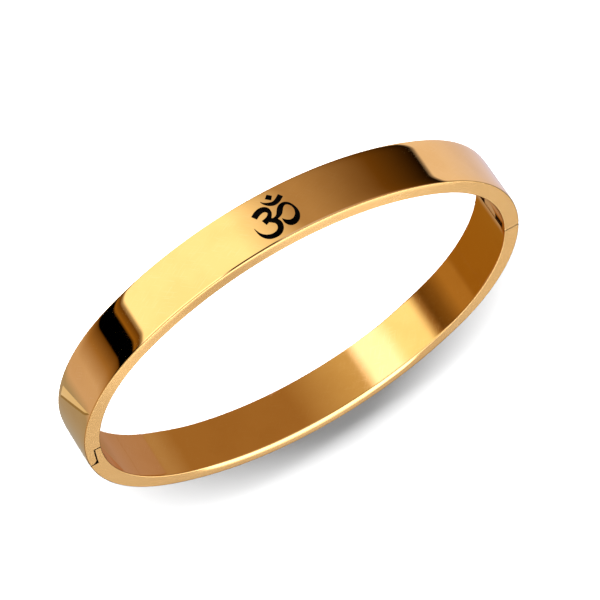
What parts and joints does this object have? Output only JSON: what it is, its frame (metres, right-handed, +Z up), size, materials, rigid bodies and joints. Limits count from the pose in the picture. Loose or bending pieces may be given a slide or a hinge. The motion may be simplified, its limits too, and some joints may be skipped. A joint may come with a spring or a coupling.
{
  "type": "hinged kada bangle",
  "caption": "Oval hinged kada bangle: flat polished gold-coloured band in halves with a hinge, a stepped clasp and a black Om ornament.",
  "frame": {"origin": "centre of the oval, on the lower rim that the bangle lies on", "axes": "+X towards the clasp along the oval's longest width, -Y towards the symbol, +Z up along the wrist"},
  "size_m": [0.0624, 0.052, 0.007],
  "materials": {
    "gold_metal": "gold-coloured coat on stainless steel, mirror polish outside, satin rims and inside",
    "bare_steel": "bare steel, dull",
    "black_enamel": "black enamel fill, smooth"
  },
  "bodies": {
    "front": {"front_half": "gold_metal", "hinge_pin": "bare_steel", "om_letter": "black_enamel", "om_crescent": "black_enamel", "om_dot": "black_enamel"},
    "back": {"back_half": "gold_metal", "clasp_tongue": "bare_steel"}
  },
  "joints": [
    {"name": "hinge", "type": "hinge", "parent": "front", "child": "back", "pos_m": [-0.03065, 0.0004, 0.0035], "axis": [0, 0, 1], "range_deg": [0, 42]}
  ]
}
